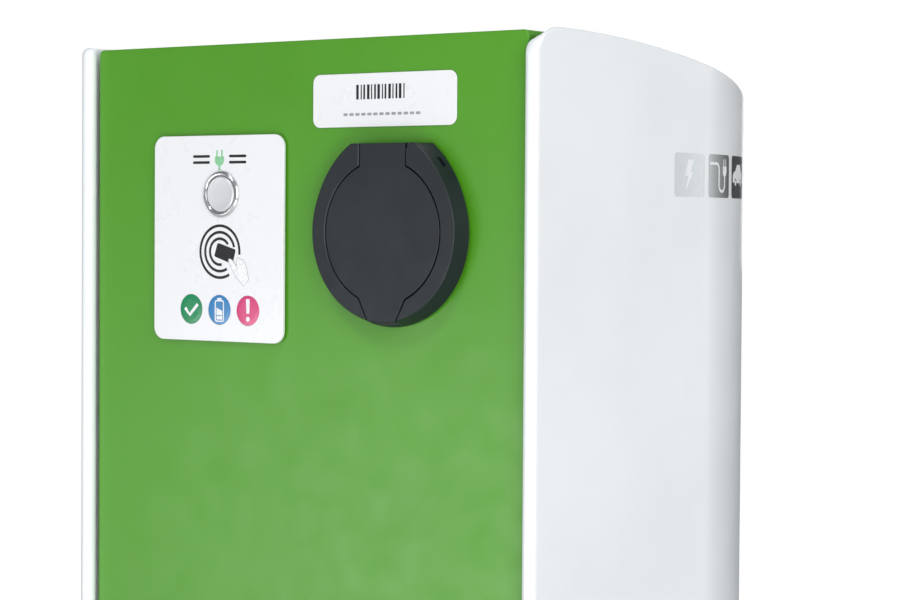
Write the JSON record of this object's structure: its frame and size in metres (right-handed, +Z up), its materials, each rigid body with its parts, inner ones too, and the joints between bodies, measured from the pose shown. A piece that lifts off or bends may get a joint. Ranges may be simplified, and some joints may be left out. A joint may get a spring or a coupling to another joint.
{
  "type": "ev charging post",
  "caption": "Free-standing vehicle charging post: bullet-shaped white shell, green hinged door, card reader panel with push button, and a round lidded charging socket.",
  "frame": {"origin": "centre of the bounding box on the ground, under the base plate", "axes": "+Z up, -Y out of the front door, +X to the right as seen from the front"},
  "size_m": [0.32, 0.332, 1.3],
  "materials": {
    "white_coat": "gloss powder coat",
    "green_coat": "gloss powder coat",
    "anthracite_plastic": "fine moulded texture",
    "socket_plastic": "satin",
    "white_plastic": "gloss film",
    "grey_plastic": "satin",
    "galvanised": "galvanised",
    "steel": "zinc plated",
    "brushed_steel": "brushed",
    "brass": "plain",
    "rubber": "matt",
    "board": "solder mask",
    "blue_plastic": "satin",
    "cable": "satin sheath",
    "lens_green": "gloss",
    "lens_blue": "gloss",
    "lens_pink": "gloss"
  },
  "bodies": {
    "post": {"base_plate": "galvanised", "anchor_bolt_1": "steel", "anchor_bolt_2": "steel", "anchor_bolt_3": "steel", "anchor_bolt_4": "steel", "body_shell": "white_coat", "roof_cap": "white_coat", "upright_left": "galvanised", "upright_right": "galvanised", "foot_rail": "galvanised", "head_rail": "galvanised", "door_seal": "rubber", "mounting_tray": "galvanised", "din_rail_upper": "galvanised", "din_rail_lower": "galvanised", "circuit_breaker": "grey_plastic", "residual_current_device": "grey_plastic", "contactor": "anthracite_plastic", "energy_meter": "white_plastic", "terminal_block": "grey_plastic", "controller": "grey_plastic", "earth_bar": "brass", "gland_bracket": "galvanised", "cable_gland": "anthracite_plastic", "hinge_bracket_upper": "steel", "hinge_bracket_lower": "steel", "hinge_pin_upper": "steel", "hinge_pin_lower": "steel", "lock_keep": "steel", "cabinet_loom": "cable"},
    "door": {"front_panel": "green_coat", "hinge_leaf_upper": "steel", "hinge_leaf_lower": "steel", "identification_label": "white_plastic", "reader_panel": "white_plastic", "reader_gasket": "rubber", "reader_housing": "anthracite_plastic", "reader_board": "board", "button_bezel": "brushed_steel", "button_nut": "steel", "status_lens_ready": "lens_green", "status_lens_charging": "lens_blue", "status_lens_fault": "lens_pink", "socket_housing": "anthracite_plastic", "socket_insert": "socket_plastic", "contact_carrier": "socket_plastic", "lid_pin": "steel", "lid_spring": "steel", "lock_actuator": "anthracite_plastic", "socket_loom": "cable", "lock_barrel": "brushed_steel"},
    "lid": {"socket_lid": "anthracite_plastic", "lid_seal": "rubber"},
    "button": {"button_cap": "brushed_steel"},
    "key_core": {"lock_core": "brushed_steel"},
    "plug_pin": {"locking_pin": "steel"},
    "breaker_toggle": {"breaker_lever": "blue_plastic"},
    "residual_toggle": {"residual_lever": "blue_plastic"},
    "test_button": {"residual_test_button": "blue_plastic"}
  },
  "joints": [
    {"name": "door_hinge", "type": "hinge", "parent": "post", "child": "door", "pos_m": [-0.1425, -0.1472, 0.66], "axis": [0, 0, -1], "range_deg": [0, 90]},
    {"name": "lid_hinge", "type": "hinge", "parent": "door", "child": "lid", "pos_m": [0.0655, -0.1625, 1.2377], "axis": [-1, 0, 0], "range_deg": [0, 105], "stiffness_Nm_per_rad": 0.02, "springref_deg": -34.38},
    {"name": "button_press", "type": "slide", "parent": "door", "child": "button", "axis": [0, 1, 0], "range_m": [0, 0.0009], "stiffness_N_per_m": 600, "springref_m": -0.001},
    {"name": "key_turn", "type": "hinge", "parent": "door", "child": "key_core", "pos_m": [0.098, -0.1547, 0.7], "axis": [0, -1, 0], "range_deg": [0, 90]},
    {"name": "plug_lock_slide", "type": "slide", "parent": "door", "child": "plug_pin", "axis": [0, 0, -1], "range_m": [0, 0.005]},
    {"name": "breaker_throw", "type": "hinge", "parent": "post", "child": "breaker_toggle", "pos_m": [-0.072, -0.0498, 0.985], "axis": [1, 0, 0], "range_deg": [0, 70]},
    {"name": "residual_throw", "type": "hinge", "parent": "post", "child": "residual_toggle", "pos_m": [-0.01, -0.0498, 0.985], "axis": [1, 0, 0], "range_deg": [0, 70]},
    {"name": "test_press", "type": "slide", "parent": "post", "child": "test_button", "axis": [0, 1, 0], "range_m": [0, 0.0015], "stiffness_N_per_m": 500, "springref_m": -0.001}
  ]
}
